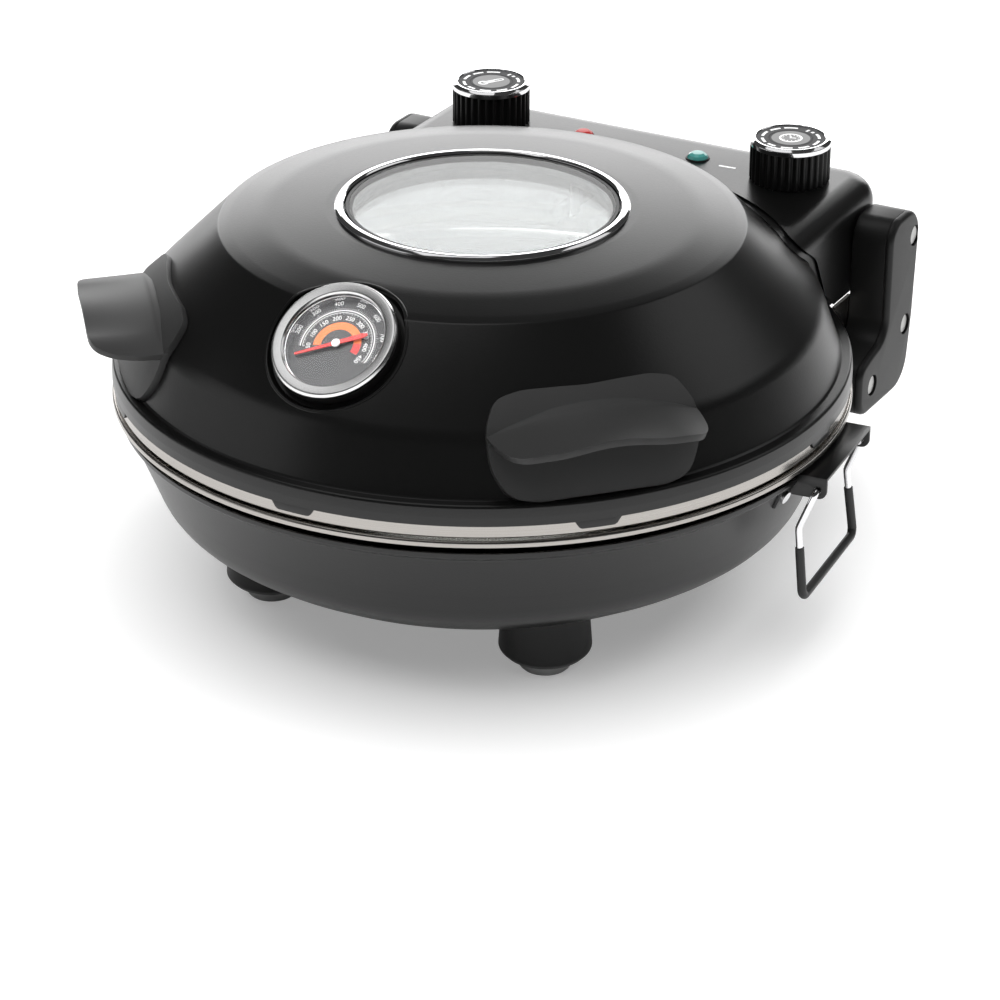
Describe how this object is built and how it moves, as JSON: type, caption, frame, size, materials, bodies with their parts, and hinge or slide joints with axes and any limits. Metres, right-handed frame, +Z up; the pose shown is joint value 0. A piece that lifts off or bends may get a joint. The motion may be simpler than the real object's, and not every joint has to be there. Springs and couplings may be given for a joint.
{
  "type": "electric pizza maker",
  "caption": "Round clamshell electric pizza cooker with a domed, windowed lid hinged on two rear arms, a control box on the lid, a stone and wire bail handles.",
  "frame": {"origin": "on the surface it stands on, under the middle of its bounding box", "axes": "+Z up, -Y towards the user, +X to the right as the user sees it"},
  "size_m": [0.3666, 0.3644, 0.1872],
  "materials": {
    "black_paint": "satin black heat-resistant paint with fine orange peel",
    "black_plastic": "satin black moulded plastic",
    "handle_plastic": "fine matt dark plastic",
    "bright_steel": "bright spun steel",
    "plated_steel": "dull zinc-plated steel",
    "chrome": "polished chrome",
    "element_sheath": "oxidised steel sheath",
    "stone": "matt cordierite",
    "grey_rubber": "matt grey rubber",
    "black_rubber": "matt black rubber",
    "glass": "clear tempered glass",
    "dial_face": "dark grey printed dial",
    "needle_red": "red paint",
    "insert_grey": "dark grey printed disc",
    "red_lens": "clear red",
    "green_lens": "clear green",
    "white_plastic": "white moulded plastic"
  },
  "bodies": {
    "base": {"base_bowl": "black_paint", "inner_pan": "bright_steel", "lower_element": "element_sheath", "element_clips": "plated_steel", "pizza_stone": "stone", "stone_rests": "plated_steel", "feet": "black_plastic", "foot_pads": "grey_rubber", "foot_screws": "plated_steel", "bail_bracket_left": "black_paint", "bail_bracket_right": "black_paint", "bracket_rivets": "chrome", "hinge_bracket_left": "bright_steel", "hinge_bracket_right": "bright_steel", "hinge_arm_left": "black_plastic", "hinge_arm_right": "black_plastic", "arm_cover_left": "black_plastic", "arm_cover_right": "black_plastic", "arm_screws": "plated_steel"},
    "lid": {"lid_shell": "black_paint", "lid_liner": "bright_steel", "upper_element": "element_sheath", "upper_element_clips": "plated_steel", "window_ring": "chrome", "window_gasket": "black_rubber", "window_glass": "glass", "window_inner_glass": "glass", "handle_left": "handle_plastic", "handle_right": "handle_plastic", "handle_screws": "plated_steel", "control_box_cover": "black_paint", "control_box_floor": "black_paint", "box_screws": "plated_steel", "trunnion_left": "plated_steel", "trunnion_right": "plated_steel", "thermostat": "plated_steel", "timer": "plated_steel", "red_lamp": "red_lens", "green_lamp": "green_lens", "lamp_bodies": "white_plastic", "thermometer_bezel": "bright_steel", "thermometer_case": "black_plastic", "thermometer_dial": "dial_face", "thermometer_lens": "glass", "cord_gland": "black_rubber"},
    "temperature_knob": {"temperature_knob": "black_plastic", "temperature_knob_ring": "chrome", "temperature_knob_insert": "insert_grey", "temperature_shaft": "plated_steel"},
    "timer_knob": {"timer_knob": "black_plastic", "timer_knob_ring": "chrome", "timer_knob_insert": "insert_grey", "timer_shaft": "plated_steel"},
    "bail_left": {"bail_wire_left": "chrome", "bail_sleeve_left": "black_rubber"},
    "bail_right": {"bail_wire_right": "chrome", "bail_sleeve_right": "black_rubber"},
    "needle": {"thermometer_needle": "needle_red"}
  },
  "joints": [
    {"name": "lid_hinge", "type": "hinge", "parent": "base", "child": "lid", "pos_m": [0, 0.16325, 0.132], "axis": [-1, 0, 0], "range_deg": [0, 95]},
    {"name": "temperature_turn", "type": "hinge", "parent": "lid", "child": "temperature_knob", "pos_m": [-0.0828, 0.14875, 0.16], "axis": [0, 0, -1], "range_deg": [0, 270]},
    {"name": "timer_turn", "type": "hinge", "parent": "lid", "child": "timer_knob", "pos_m": [0.0828, 0.14875, 0.16], "axis": [0, 0, -1], "range_deg": [0, 300]},
    {"name": "bail_left_swing", "type": "hinge", "parent": "base", "child": "bail_left", "pos_m": [-0.17641, 0.00475, 0.0885], "axis": [0.0819, 0.9966, 0], "range_deg": [-20, 120]},
    {"name": "bail_right_swing", "type": "hinge", "parent": "base", "child": "bail_right", "pos_m": [0.17641, 0.00475, 0.0885], "axis": [0.0819, -0.9966, 0], "range_deg": [-20, 120]},
    {"name": "needle_turn", "type": "hinge", "parent": "lid", "child": "needle", "pos_m": [0, -0.14275, 0.17], "axis": [0, 0.6088, -0.7934], "range_deg": [0, 230]}
  ]
}
